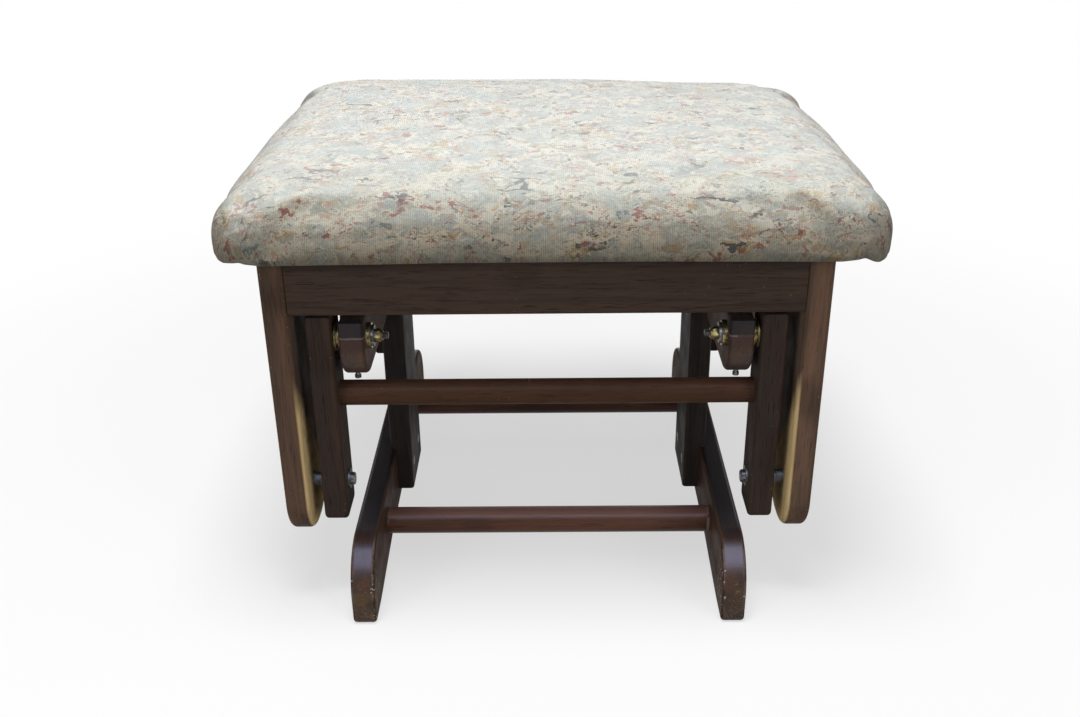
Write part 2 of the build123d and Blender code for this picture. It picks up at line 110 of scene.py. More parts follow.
def settle(thing, name):
    """Name a new object and move its place into its mesh."""
    thing.name = name
    thing.data.name = name
    pick(thing)
    bpy.ops.object.transform_apply(location=True, rotation=True, scale=True)
    return thing


def apply_all(thing):
    """Apply every modifier of an object, in order."""
    pick(thing)
    for modifier in list(thing.modifiers):
        bpy.ops.object.modifier_apply(modifier=modifier.name)


def select_edges(thing, wanted):
    """In edit mode, select only the edges whose two ends pass a test."""
    bpy.ops.mesh.select_mode(type="EDGE")
    bpy.ops.mesh.select_all(action="DESELECT")
    edit = bmesh.from_edit_mesh(thing.data)
    for edge in edit.edges:
        edge.select_set(wanted(edge.verts[0].co, edge.verts[1].co))
    bmesh.update_edit_mesh(thing.data)


def mesh_points(mesh):
    """A mesh's vertices as an array."""
    points = np.empty(len(mesh.vertices) * 3)
    mesh.vertices.foreach_get("co", points)
    return points.reshape(-1, 3)


def move_points(mesh, points):
    """Put a mesh's vertices where an array says."""
    mesh.vertices.foreach_set("co", points.ravel())
    mesh.update()


def merged_copy(node_name, name):
    """A copy of a CAD node's mesh as a new object, with its loose triangles joined up."""
    mesh = nodes[node_name].data.copy()
    mesh.materials.clear()
    copy = bpy.data.objects.new(name, mesh)
    bpy.context.scene.collection.objects.link(copy)
    pick(copy)
    bpy.ops.object.mode_set(mode="EDIT")
    bpy.ops.mesh.select_all(action="SELECT")
    bpy.ops.mesh.remove_doubles(threshold=0.00002)
    bpy.ops.object.mode_set(mode="OBJECT")
    return copy


# ---------------------------------------------------------------- material tools

class Finish:
    """A material's nodes, put together in short steps. Colours are linear RGB."""

    def __init__(self, name):
        self.material = bpy.data.materials.new(name)
        self.material.use_nodes = True
        self.tree = self.material.node_tree
        self.tree.nodes.clear()
        output = self.tree.nodes.new("ShaderNodeOutputMaterial")
        self.shader = self.tree.nodes.new("ShaderNodeBsdfPrincipled")
        self.tree.links.new(self.shader.outputs[0], output.inputs["Surface"])
        start = self.tree.nodes.new("ShaderNodeTexCoord").outputs
        self.place, self.normal, self.unrolled = start["Object"], start["Normal"], start["UV"]
        self.colour = None

    def feed(self, socket, value):
        """Link another node's output to a socket, or set the socket's own value."""
        if isinstance(value, bpy.types.NodeSocket):
            self.tree.links.new(value, socket)
        elif isinstance(value, (tuple, list)) and len(value) == 3 and socket.type == "RGBA":
            socket.default_value = (*value, 1.0)
        else:
            socket.default_value = value

    def surface(self, **sockets):
        """Set or link the shader's sockets; an underscore in a name stands for a space."""
        for name, value in sockets.items():
            self.feed(self.shader.inputs[name.replace("_", " ")], value)

    def mapped(self, vector, scale=(1, 1, 1), location=(0, 0, 0), rotation=(0, 0, 0)):
        """A vector scaled, turned and moved."""
        node = self.tree.nodes.new("ShaderNodeMapping")
        self.feed(node.inputs["Vector"], vector)
        node.inputs["Scale"].default_value = scale
        node.inputs["Location"].default_value = location
        node.inputs["Rotation"].default_value = rotation
        return node.outputs[0]

    def noise(self, vector, scale, detail=2.0, roughness=0.5, distortion=0.0, colour=False):
        """Noise at a vector, as a number or as a colour."""
        node = self.tree.nodes.new("ShaderNodeTexNoise")
        self.feed(node.inputs["Vector"], vector)
        node.inputs["Scale"].default_value = scale
        node.inputs["Detail"].default_value = detail
        node.inputs["Roughness"].default_value = roughness
        node.inputs["Distortion"].default_value = distortion
        return node.outputs["Color" if colour else "Fac"]

    def math(self, operation, a, b=0.0):
        """One step of arithmetic."""
        node = self.tree.nodes.new("ShaderNodeMath")
        node.operation = operation
        for socket, value in zip(node.inputs, (a, b)):
            self.feed(socket, value)
        return node.outputs[0]

    def vector(self, operation, a, b=(0, 0, 0), scale=None):
        """One step of arithmetic on vectors."""
        node = self.tree.nodes.new("ShaderNodeVectorMath")
        node.operation = operation
        self.feed(node.inputs[0], a)
        self.feed(node.inputs[1], b)
        if scale is not None:
            node.inputs["Scale"].default_value = scale
        return node.outputs[0]

    def axes(self, vector):
        """A vector's three parts."""
        node = self.tree.nodes.new("ShaderNodeSeparateXYZ")
        self.feed(node.inputs[0], vector)
        return node.outputs

    def band(self, value, low, high, to_low=0.0, to_high=1.0):
        """A smooth step from one value to another, as the input goes from low to high."""
        node = self.tree.nodes.new("ShaderNodeMapRange")
        node.interpolation_type = "SMOOTHSTEP"
        for socket, number in zip(node.inputs, (value, low, high, to_low, to_high)):
            self.feed(socket, number)
        return node.outputs[0]

    def both(self, *masks):
        """The product of several masks, which are sockets or numbers after the first."""
        result = masks[0]
        for mask in masks[1:]:
            result = self.math("MULTIPLY", result, mask)
        return result

    def mix(self, under, over, share):
        """One colour laid over another."""
        node = self.tree.nodes.new("ShaderNodeMix")
        node.data_type = "RGBA"
        self.feed(node.inputs[0], share)
        self.feed(node.inputs[6], under)
        self.feed(node.inputs[7], over)
        return node.outputs[2]

    def lay(self, over, *masks):
        """Lay a colour over the finish's own, where every mask lets it show."""
        self.colour = self.mix(self.colour, over, self.both(*masks))

    def tint(self, over, share):
        """Multiply the finish's colour by another, as far as the share says."""
        self.colour = self.mix(self.colour, over, share)
        self.colour.node.blend_type = "MULTIPLY"

    def blend(self, low, high, share):
        """A number between two others."""
        node = self.tree.nodes.new("ShaderNodeMix")
        self.feed(node.inputs[0], share)
        self.feed(node.inputs[2], low)
        self.feed(node.inputs[3], high)
        return node.outputs[0]

    def bump(self, height, distance, strength):
        """The normal that a height from 0 to 1 gives, when 1 stands for the distance."""
        node = self.tree.nodes.new("ShaderNodeBump")
        node.inputs["Strength"].default_value = strength
        node.inputs["Distance"].default_value = distance
        self.feed(node.inputs["Height"], height)
        return node.outputs[0]


def dress(finish, *pieces):
    """Give a finish to pieces or CAD nodes, in place of what they have."""
    for piece in pieces:
        thing = nodes[piece] if isinstance(piece, str) else piece
        if not thing.material_slots:
            thing.data.materials.append(finish.material)
        for slot in thing.material_slots:
            slot.material = finish.material


# ---------------------------------------------------------------- wood

GRAIN_SCALES = {"X": (0.05, 1, 1), "Y": (1, 0.05, 1), "Z": (1, 1, 0.05)}
SEEDS = count(1)       # each board's pattern starts at another place

# Each board's stain, and the lighter streaks in it.
LEG_STAINS = {
    "left": ((0.102, 0.069, 0.050), (0.160, 0.092, 0.062)),
    "right": ((0.132, 0.088, 0.064), (0.205, 0.118, 0.078)),
}
LINK_STAIN = (0.050, 0.036, 0.030), (0.070, 0.043, 0.032)
RAIL_STAIN = (0.060, 0.043, 0.035), (0.084, 0.055, 0.042)
FOOT_STAIN = (0.052, 0.030, 0.022), (0.085, 0.040, 0.024)
ARM_STAIN = (0.082, 0.058, 0.050), (0.125, 0.074, 0.052)
POST_STAIN = (0.043, 0.037, 0.034), (0.058, 0.046, 0.040)
LOW_ROUND_STAIN = (0.115, 0.050, 0.030), (0.165, 0.070, 0.045)
# painted shade: the high stretchers' stain, darker than the low ones', as the seat shades them
HIGH_ROUND_SHADED_STAIN = (0.085, 0.043, 0.026), (0.124, 0.058, 0.036)

# Wear that any board has.
RUBBED_EDGE = (0.125, 0.074, 0.046)
CHIPPED_EDGE = (0.36, 0.25, 0.15)
SCRATCHED = (0.17, 0.11, 0.08)

# Wear on the feet, with painted light: shade behind the toes, and a bluish sheen on the knees.
TOES = (0.185, 0.205)           # how far from the middle, to the front or rear, the toes begin
BEHIND_TOES = (0.215, 0.165)    # and the painted shade behind them, where the seat shades the feet's tops, fades in from there
# painted shade: the seat's shadow on the feet's tops, dark and bluish
SEAT_SHADE_ON_FEET = (0.017, 0.0155, 0.023)
GOLDEN = (0.115, 0.070, 0.028)
GOLD_SHOWS = {"left": 0.65, "right": 0.25}
SCUFFED = (0.20, 0.17, 0.14)
SPECKLED = (0.24, 0.17, 0.085)
# painted reflection: a bluish sheen on the knees, brighter on the right
KNEE_SHEEN = {"left": (0.095, 0.090, 0.145), "right": (0.180, 0.155, 0.215)}
PALE_LINE = (0.21, 0.19, 0.175)
NICKED = (0.50, 0.47, 0.42)

# Wear on the arms' ends, the front legs' inner faces and the low stretchers, with painted shade and
# highlights on them.
SHADE_LINE_DEPTH = 0.0135            # from an arm's top down to the pale line of painted highlight, below the painted shade
# painted shade: the seat's shadow on the upper part of the arms' ends
ARM_END_SHADE = (0.024, 0.022, 0.027)
REDDISH_WOOD = (0.070, 0.038, 0.030)
# painted highlight: a pale line where the arms' rounded ends catch the light
ARM_END_HIGHLIGHT = (0.22, 0.19, 0.17)
# bare wood, partly real and partly painted light: brightened where light reaches the legs' inner faces
BARE_LIT_WOOD = (0.86, 0.64, 0.33), (0.62, 0.43, 0.19)
BARE_AND_LIT_BELOW = (0.262, 0.222)     # the bare, brighter wood begins between these heights, along a slanting painted shadow edge
SMUDGED = (0.20, 0.15, 0.095)
SMUDGES_SHOW = {"left": 0.55, "right": 0.2}
# painted highlight on the low stretchers' upward tops
ROUND_TOP_HIGHLIGHT = (0.29, 0.155, 0.130)
RUBBED_RING = (0.33, 0.28, 0.25)
RING_FROM_FOOT = (0.0035, 0.0010)

# Unfinished wood, pale and dark.
BEECH = (0.42, 0.27, 0.13), (0.31, 0.18, 0.08)
BIRCH = (0.52, 0.38, 0.21), (0.42, 0.28, 0.14)
GRIMY = (0.10, 0.075, 0.05)


def stained_wood(name, grain, stains, wear, thickness_axis=0, shine=0.05):
    """Dark stained hardwood under satin varnish, with chipped edges and fine scratches."""
    wood = Finish(name)
    seed = next(SEEDS)
    stain, streak = stains
    darker = tuple(part * 0.45 for part in stain)
    darkest = tuple(part * 0.25 for part in stain)
    here = wood.mapped(wood.place, location=(seed * 1.7, seed * 2.3, seed * 0.9))
    along = wood.mapped(here, scale=GRAIN_SCALES[grain])
    broad = wood.noise(along, 55, detail=3, distortion=0.6)
    fine = wood.noise(along, 420, detail=4, roughness=0.65)
    pores = wood.band(wood.noise(along, 1100), 0.60, 0.72)
    cloudy = wood.noise(here, 14)
    wood.colour = wood.mix(stain, streak, wood.band(broad, 0.42, 0.66))
    wood.lay(darker, wood.band(fine, 0.45, 0.75), 0.55)
    wood.lay(darker, wood.band(cloudy, 0.50, 0.75), 0.6)
    wood.lay(darkest, pores, 0.6)
    # Edges: the stain is rubbed brown along them, and chipped to bare wood in spots.
    facing = wood.math("ABSOLUTE", wood.axes(wood.normal)[thickness_axis])
    edge = wood.both(wood.band(facing, 0.12, 0.45), wood.band(facing, 0.98, 0.80))
    wood.lay(RUBBED_EDGE, edge, wood.band(wood.noise(here, 60, detail=3), 0.35, 0.75), wear)
    chips = wood.band(wood.noise(here, 260, detail=3, roughness=0.6), 0.64, 0.69)
    chips = wood.both(edge, chips, wood.band(cloudy, 0.40, 0.60))
    wood.lay(CHIPPED_EDGE, chips, min(1.0, wear * 1.6))
    # Scratches: thin pale lines that slant across the grain, in places.
    slanted = wood.mapped(here, rotation=(0.5, 0.4, 0.7), scale=(1, 0.03, 1))
    lines = wood.band(wood.noise(slanted, 300, detail=1), 0.735, 0.76)
    wood.lay(SCRATCHED, lines, wood.band(wood.noise(here, 22, detail=1), 0.50, 0.62), 0.55)
    relief = wood.math("SUBTRACT", wood.both(fine, 0.5), wood.both(pores, 0.6))
    relief = wood.math("SUBTRACT", relief, wood.both(chips, 2.0))
    wood.here = here
    wood.facing = facing
    wood.dull = wood.blend(0.48, 0.62, wood.band(wood.noise(here, 35, detail=3), 0.35, 0.7))
    wood.surface(
        Base_Color=wood.colour,
        Roughness=wood.dull,
        Normal=wood.bump(relief, 0.00018, 0.7),
        Coat_Normal=wood.bump(broad, 0.0002, 0.4),
        Specular_IOR_Level=0.02,
        Coat_Weight=wood.both(wood.band(facing, 0.55, 0.30), shine),
        Coat_Roughness=0.26,
        Coat_IOR=1.27,
    )
    return wood


def toes_wear_shade_and_sheen(wood, side_name):
    """Show where shoes have rubbed a foot's toes: gold in the middle, scuffed pale below. Paint shade on
    the foot's top behind the toes, and a bluish sheen on the knees.
    """
    _, y, z = wood.axes(wood.place)
    outward = wood.math("ABSOLUTE", y)
    up = wood.axes(wood.normal)[2]
    toes = wood.band(outward, *TOES)
    cloudy = wood.noise(wood.here, 75, detail=4, roughness=0.6)
    # Painted shade on the foot's upward top behind the toes, where the seat shades it.
    wood.lay(SEAT_SHADE_ON_FEET, wood.band(outward, *BEHIND_TOES), wood.band(up, 0.75, 0.95), 0.85)
    middle = wood.both(wood.band(z, 0.040, 0.030), wood.band(z, 0.004, 0.014))
    wood.lay(GOLDEN, toes, middle, wood.band(cloudy, 0.40, 0.62), GOLD_SHOWS[side_name])
    scuffs = wood.band(wood.noise(wood.here, 420, detail=4, roughness=0.7), 0.50, 0.66)
    wood.lay(SCUFFED, toes, scuffs, wood.band(z, 0.028, 0.003), 0.60)
    specks = wood.both(wood.band(wood.noise(wood.here, 620), 0.60, 0.67), wood.band(cloudy, 0.42, 0.58))
    wood.lay(SPECKLED, toes, specks, wood.band(z, 0.052, 0.036), 0.7)
    # A bluish sheen is painted on the knees, for the reflection of the cool window light, and the varnish
    # is rubbed to a pale line along their edges.
    knees = wood.both(wood.band(up, 0.42, 0.74), wood.band(up, 0.97, 0.86))
    wood.lay(KNEE_SHEEN[side_name], toes, knees, wood.band(wood.facing, 0.5, 0.2), 0.45)
    line = wood.both(wood.band(wood.facing, 0.30, 0.50), wood.band(wood.facing, 0.85, 0.65))
    wood.lay(PALE_LINE, toes, line, wood.band(cloudy, 0.35, 0.60), wood.band(z, 0.010, 0.030), 0.6)
    wide = wood.mapped(wood.here, scale=(0.45, 1, 1))
    nicks = wood.both(wood.band(wood.noise(wide, 300), 0.645, 0.69), wood.band(wood.facing, 0.06, 0.30))
    wood.lay(NICKED, toes, nicks, wood.band(z, 0.060, 0.052), 0.9)
    wood.surface(Base_Color=wood.colour)


def arm_end_shade_and_wear(wood):
    """Show an arm's ends: painted shade above, a pale line of painted highlight, and rubbed reddish wood
    below it.
    """
    _, y, z = wood.axes(wood.place)
    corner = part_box("base_arm_left")[1]
    end = wood.band(wood.math("ABSOLUTE", y), corner[1] - 0.014, corner[1] - 0.004)
    ragged = wood.math("SUBTRACT", wood.noise(wood.here, 90, detail=3), 0.5)
    level = wood.math("ADD", z, wood.both(ragged, 0.003))
    shade_line = corner[2] - SHADE_LINE_DEPTH
    # Painted shade above the line, where the seat shades the arm's end.
    wood.lay(ARM_END_SHADE, end, wood.band(level, shade_line, shade_line + 0.002), 0.8)
    patch = wood.band(level, shade_line - 0.018, shade_line - 0.008)
    wood.lay(REDDISH_WOOD, end, patch, wood.band(level, shade_line, shade_line - 0.002), 0.75)
    line = wood.band(wood.math("ABSOLUTE", wood.math("SUBTRACT", level, shade_line)), 0.0010, 0.0004)
    broken = wood.band(wood.noise(wood.here, 130), 0.45, 0.58)
    # A pale line of painted highlight.
    wood.lay(ARM_END_HIGHLIGHT, end, line, broken, 0.7)
    wood.surface(Base_Color=wood.colour)


def bare_and_lit_inside(wood, side_name):
    """Show bare, handled wood on a front leg's inner face, low down and towards the front, brightened as
    painted light and bounded by a slanting painted shadow edge from the cushion.
    """
    _, y, z = wood.axes(wood.place)
    inward = wood.both(wood.axes(wood.normal)[0], -SIDES[side_name])
    behind = wood.math("SUBTRACT", y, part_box("seat_leg_front_left")[0][1])
    ragged = wood.noise(wood.mapped(wood.here, scale=(1, 1, 0.3)), 60, detail=4, roughness=0.6)
    # The slanting edge, lower towards the rear, is a painted shadow edge, as the cushion casts it.
    line = wood.math("ADD", z, wood.both(behind, 1.6))
    line = wood.math("ADD", line, wood.both(ragged, 0.05))
    bare_and_lit = wood.both(wood.band(inward, 0.35, 0.75), wood.band(line, *BARE_AND_LIT_BELOW))
    along = wood.mapped(wood.here, scale=GRAIN_SCALES["Z"])
    fine = wood.noise(along, 350, detail=4, roughness=0.6)
    tan = wood.mix(*BARE_LIT_WOOD, wood.band(fine, 0.35, 0.75))
    smudge = wood.band(wood.noise(wood.here, 48, detail=4, roughness=0.65), 0.52, 0.74)
    tan = wood.mix(tan, SMUDGED, wood.both(smudge, SMUDGES_SHOW[side_name]))
    wood.lay(tan, bare_and_lit)
    wood.surface(Base_Color=wood.colour, Roughness=wood.blend(wood.dull, 0.65, bare_and_lit))


def round_highlight_and_ring(wood):
    """Paint a highlight on a low stretcher's upward top, and show the pale ring rubbed beside each foot.
    """
    up = wood.axes(wood.normal)[2]
    # Painted highlight where the stretcher faces up.
    wood.lay(ROUND_TOP_HIGHLIGHT, wood.band(up, 0.60, 0.88, 0.0, 0.9))
    across = wood.math("ABSOLUTE", wood.axes(wood.place)[0])
    foot_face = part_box("base_foot_right")[0][0]
    ring = wood.band(across, *(foot_face - short for short in RING_FROM_FOOT))
    wood.lay(RUBBED_RING, ring, wood.band(wood.noise(wood.here, 120, detail=3), 0.42, 0.56), 0.75)
    wood.surface(Base_Color=wood.colour)


def plain_wood(name, grain, seed, pale, dark):
    """Unfinished wood: grain, a few dark flecks and no varnish."""
    wood = Finish(name)
    here = wood.mapped(wood.place, location=(seed, seed * 0.6, seed * 1.3))
    along = wood.mapped(here, scale=GRAIN_SCALES[grain])
    fine = wood.noise(along, 300, detail=4, roughness=0.6)
    broad = wood.noise(along, 40, distortion=0.8)
    wood.colour = wood.mix(pale, dark, wood.band(broad, 0.35, 0.7))
    wood.lay(tuple(part * 0.6 for part in dark), wood.band(fine, 0.5, 0.8), 0.5)
    wood.lay(GRIMY, wood.band(wood.noise(here, 25, detail=4), 0.5, 0.8), 0.35)
    wood.surface(
        Base_Color=wood.colour,
        Roughness=0.72,
        Specular_IOR_Level=0.3,
        Normal=wood.bump(fine, 0.0002, 0.6),
    )
    return wood


for side_name in SIDES:
    for row in ROWS:
        leg = stained_wood(f"leg_{row}_{side_name}_stain", "Z", LEG_STAINS[side_name], 0.7)
        if row == "front":
            bare_and_lit_inside(leg, side_name)
        dress(leg, f"seat_leg_{row}_{side_name}")
        link = stained_wood(f"link_{row}_{side_name}_stain", "Z", LINK_STAIN, 0.25)
        dress(link, f"link_{row}_{side_name}")
    foot = stained_wood(f"foot_{side_name}_stain", "Y", FOOT_STAIN, 0.35, shine=1.0)
    toes_wear_shade_and_sheen(foot, side_name)
    dress(foot, f"base_foot_{side_name}")
    arm = stained_wood(f"arm_{side_name}_stain", "Y", ARM_STAIN, 0.5, shine=0.5)
    arm_end_shade_and_wear(arm)
    dress(arm, f"base_arm_{side_name}")
    post = stained_wood(f"post_{side_name}_stain", "Z", POST_STAIN, 0.25)
    dress(post, f"base_post_{side_name}")
    rail = stained_wood(f"rail_{side_name}_stain", "Y", RAIL_STAIN, 0.4)
    dress(rail, f"side_rail_{side_name}")
for row in ROWS:
    apron = stained_wood(f"apron_{row}_stain", "X", RAIL_STAIN, 0.3, thickness_axis=1)
    dress(apron, f"apron_{row}")
    low_round = stained_wood(f"base_round_{row}_stain", "X", LOW_ROUND_STAIN, 0.0, shine=0.6)
    round_highlight_and_ring(low_round)
    dress(low_round, f"base_stretcher_{row}")
    high_round = stained_wood(f"link_round_shaded_{row}_stain", "X", HIGH_ROUND_SHADED_STAIN, 0.0, shine=0.08)
    dress(high_round, f"link_stretcher_{row}")
dress(plain_wood("beech", "X", 3, *BEECH), "corner_blocks", "apron_dowels")
dress(plain_wood("beech_along", "Y", 4, *BEECH), "side_rail_dowels")
dress(plain_wood("birch_plywood", "X", 5, *BIRCH), "cushion_board")


# ---------------------------------------------------------------- metal

# painted shade: the upper bolts' outer heads sit in shade between the links and legs
PAINTED_SHADE_BLACK = (0.035, 0.035, 0.035)


def aged_metal(name, seed, clean, tarnish, roughness, tarnished=0.5):
    """Plated metal with tarnish in blotches, fine turning marks and dull spots."""
    metal = Finish(name)
    here = metal.mapped(metal.place, location=(seed, seed * 0.3, seed * 0.7))
    blotch = metal.noise(here, 190, detail=4, roughness=0.6)
    specks = metal.band(metal.noise(here, 900), 0.58, 0.70)
    stained = metal.band(blotch, 0.62 - 0.3 * tarnished, 0.80 - 0.2 * tarnished)
    metal.colour = metal.mix(clean, tarnish, stained)
    metal.lay(tuple(part * 0.4 for part in tarnish), specks, 0.5)
    marks = metal.noise(metal.mapped(here, scale=(1, 0.2, 0.2)), 2500, detail=1)
    metal.surface(
        Base_Color=metal.colour,
        Metallic=1.0,
        Roughness=metal.blend(roughness, roughness + 0.28, stained),
        Normal=metal.bump(marks, 0.00004, 0.5),
    )
    return metal


def shade_outer_heads(metal):
    """Paint shade on a bolt from the middle of the link outwards, so that only its outer head, in shade
    between the link and the leg, shows it as black.
    """
    low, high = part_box("link_front_right")
    middle = (low[0] + high[0]) / 2
    across = metal.math("ABSOLUTE", metal.axes(metal.place)[0])
    metal.lay(PAINTED_SHADE_BLACK, metal.band(across, middle - 0.002, middle + 0.002))
    metal.surface(Base_Color=metal.colour)


brass = aged_metal("dulled_brass", 1, (0.30, 0.23, 0.095), (0.075, 0.058, 0.034), 0.34, tarnished=0.85)
zinc = aged_metal("zinc_plate", 2, (0.17, 0.17, 0.165), (0.060, 0.060, 0.058), 0.40, tarnished=0.75)
black_oxide = aged_metal("black_oxide", 3, (0.07, 0.065, 0.06), (0.025, 0.022, 0.02), 0.40)
sooty = aged_metal("sooty_zinc", 4, (0.10, 0.10, 0.10), (0.035, 0.035, 0.035), 0.50)
bolt_plate = aged_metal("bolt_plate", 5, (0.17, 0.17, 0.14), (0.065, 0.065, 0.058), 0.42, tarnished=0.75)
shade_outer_heads(bolt_plate)
dress(brass, "arm_bushes", "leg_inserts")
dress(brass, "link_bushes_front", "link_bushes_rear")
dress(zinc, "upper_washers_front", "upper_washers_rear")
dress(zinc, "lower_washers", "bush_set_screws")
dress(sooty, "lower_spacers")
dress(zinc, "corner_block_screws", "cushion_screws")
dress(black_oxide, "foot_post_screws", "arm_post_screws", "base_stretcher_screws")
dress(black_oxide, "link_stretcher_screws_front", "link_stretcher_screws_rear")


# ---------------------------------------------------------------- bolts and nuts

PITCH = 0.001          # of an M6 thread
BOLT = 0.003           # its radius
ROOT = 0.0025          # and its radius between the ridges
RIDGES = 11            # of thread after the first, which reach through a nut
NUT_FLATS = 0.010
NUT_COLLAR = 0.0018    # the round collar that holds a lock nut's ring
HEAD = 0.004           # height of the lower bolts' heads

# Turned outlines. Each step has its share of the whole length, and its radius or a share of one.
DOME = ((0, 0.0068), (0.3, 0.0070), (0.4, 0.0061), (0.2, 0.0044), (0.1, 0.0018))
COLLAR = ((0, 0.46), (0.7, 0.44), (0.3, 0.38))
CHAMFER = ((0, 0.95), (0.08, 1), (0.66, 1), (0.26, 0.86))


def stepped(outline, length, radius=1):
    """An outline's steps at full size, for turned()."""
    return [(share * length, wide * radius) for share, wide in outline]


def turned(name, x, y, z, way, steps, sides=32):
    """A turned piece along X: a disc, then each step's length and radius drawn out one way."""
    deselect_all()
    radius = steps[0][1]
    bpy.ops.mesh.primitive_circle_add(
        vertices=sides, radius=radius, fill_type="NGON", location=(x, y, z), rotation=(0, pi / 2, 0))
    piece = settle(bpy.context.object, name)
    bpy.ops.object.mode_set(mode="EDIT")
    bpy.ops.mesh.select_all(action="SELECT")
    for length, wide in steps[1:]:
        bpy.ops.mesh.extrude_region_move(TRANSFORM_OT_translate={"value": (way * length, 0, 0)})
        x += way * length
        share = wide / radius
        if share != 1:
            bpy.ops.transform.resize(value=(1, share, share), center_override=(x, y, z))
        radius = wide
    bpy.ops.mesh.select_all(action="SELECT")
    bpy.ops.mesh.normals_make_consistent(inside=False)
    bpy.ops.object.mode_set(mode="OBJECT")
    return piece


def hexagon(x, y, z, way, length):
    """A six-sided nut or bolt head along X, with its corners chamfered at its outer end."""
    corner = NUT_FLATS / 2 / cos(pi / 6)
    head = turned("hexagon", x, y, z, way, [(0, corner), (length, corner)], sides=6)
    tool = turned("chamfer", x, y, z, way, stepped(CHAMFER, length, corner))
    cut = head.modifiers.new("chamfer", "BOOLEAN")
    cut.operation = "INTERSECT"
    cut.object = tool
    apply_all(head)
    bpy.data.objects.remove(tool)
    return head


def joined_as(name, pieces, body, node):
    """Several pieces made one, which rides on a body and stands for a node."""
    deselect_all()
    for piece in pieces:
        piece.select_set(True)
    bpy.context.view_layer.objects.active = pieces[0]
    bpy.ops.object.join()
    pieces[0].name = name
    pieces[0].data.name = name
    bpy.ops.object.shade_smooth_by_angle(angle=radians(35))
    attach(pieces[0], body)
    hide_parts(node)
    return pieces[0]


def reach(node):
    """The least and the most distance from the middle, across, of a node with two mirrored halves."""
    across = abs(mesh_points(nodes[node].data)[:, 0])
    return float(across.min()), float(across.max())


def pivot_bolts(row):
    """Make a row's two upper bolts, with ridges of thread at their inner ends, and their lock nuts."""
    low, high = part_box(f"upper_bolts_{row}")
    y, z = (low[1] + high[1]) / 2, (low[2] + high[2]) / 2
    tail, head_end = reach(f"upper_bolts_{row}")
    nut_end, nut_face = reach(f"upper_nuts_{row}")
    link_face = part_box(f"link_{row}_right")[1][0]
    thread = [(0, ROOT * 0.8), (PITCH / 2, BOLT)] + [(PITCH / 2, ROOT), (PITCH / 2, BOLT)] * RIDGES
    plain = link_face - tail - sum(length for length, _ in thread)
    steps = thread + [(plain, BOLT)] + stepped(DOME, head_end - link_face)
    flats = nut_face - nut_end - NUT_COLLAR
    collar = stepped(COLLAR, NUT_COLLAR, NUT_FLATS)
    bolts, nuts = [], []
    for side in SIDES.values():
        bolts.append(turned("bolt", side * tail, y, z, side, steps, sides=24))
        nuts.append(hexagon(side * nut_face, y, z, -side, flats))
        nuts.append(turned("collar", side * (nut_face - flats), y, z, -side, collar))
    bolts = joined_as(f"carriage_bolts_{row}", bolts, f"{row}_links", f"upper_bolts_{row}")
    dress(bolt_plate, bolts)
    nuts = joined_as(f"lock_nuts_{row}", nuts, f"{row}_links", f"upper_nuts_{row}")
    dress(brass, nuts)


def seat_bolts():
    """Make the four lower bolts, whose heads show on the links' inner faces."""
    low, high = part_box("lower_bolts")
    head_end, insert_end = reach("lower_bolts")
    z = (low[2] + high[2]) / 2
    shank = [(0, BOLT), (insert_end - head_end - HEAD, BOLT)]
    pieces = []
    for side in SIDES.values():
        x = side * (head_end + HEAD)
        for y in (low[1] + NUT_FLATS / 2, high[1] - NUT_FLATS / 2):
            pieces.append(hexagon(x, y, z, -side, HEAD))
            pieces.append(turned("shank", x, y, z, side, shank, sides=24))
    dress(zinc, joined_as("seat_bolts", pieces, "seat", "lower_bolts"))


for row in ROWS:
    pivot_bolts(row)
seat_bolts()


# ---------------------------------------------------------------- upholstery

COVER_LOW, COVER_HIGH = (Vector(corner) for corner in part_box("cushion_cover"))
FOAM_LOW = Vector(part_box("cushion_foam")[0])
BOARD_LOW, BOARD_HIGH = (Vector(corner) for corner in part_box("cushion_board"))
COVER_THICKNESS = 0.002
UNDER_MARGIN = 0.064   # of cover turned under the cushion
OPENING_CORNER = 0.02  # radius of the opening's corners underneath
VOXEL = 0.005
FILLER_OVER = 0.004    # how far the recess's filler runs into the foam above the board
FILLER_ROUND = 0.003   # and how much wider than the board it is

SWELL_FRAMES = 20
SWELL_LIMIT = 0.006
SWELL_ACROSS = 0.3     # share of the simulation's sideways moves that is kept: they draw the sides in
HELD_HEIGHT = 0.004    # of the lowest layer, which the board holds

CORNER = 0.046         # the corners' radius, seen from above
SHOULDER = 0.036       # how far in from its outline the top starts to fall
SHOULDER_DROP = 0.38
SHOULDER_TURN = (0.6, 1)    # how much the distance across, and along, counts at a corner
BELLY = 0.020          # height of the widest part above the lower edge
SIDE_BOW = 0.0125
PLUMP = 0.008          # how much the stuffing stands higher at the rear left
CUSHION_SHIFT = 0.0035
FRONT_SHIFT = 0.001

# The lower edge leaves the seat frame between these distances from the middle.
PAST_APRON = (0.198, 0.206)
PAST_LEGS = (0.230, 0.238)
RAIL_LIFT = 0.0035     # how far the frame pushes the edge up
HEM_FADE = 0.030       # height over which the lift fades out
CORNERS_FROM = 0.15    # distance to the front or rear, past which the edge hangs as these say
HEM_PLACES = (0.225, 0.243, 0.252, 0.260, 0.268)
HEM_LIFTS = (0.0035, 0.0045, 0.0018, -0.0010, -0.0028)
RIGHT_SAG = 0.0035     # how much lower it hangs at the front right corner

CLOTH_TURN = 0.075     # how far in from its outline the cover starts to turn down


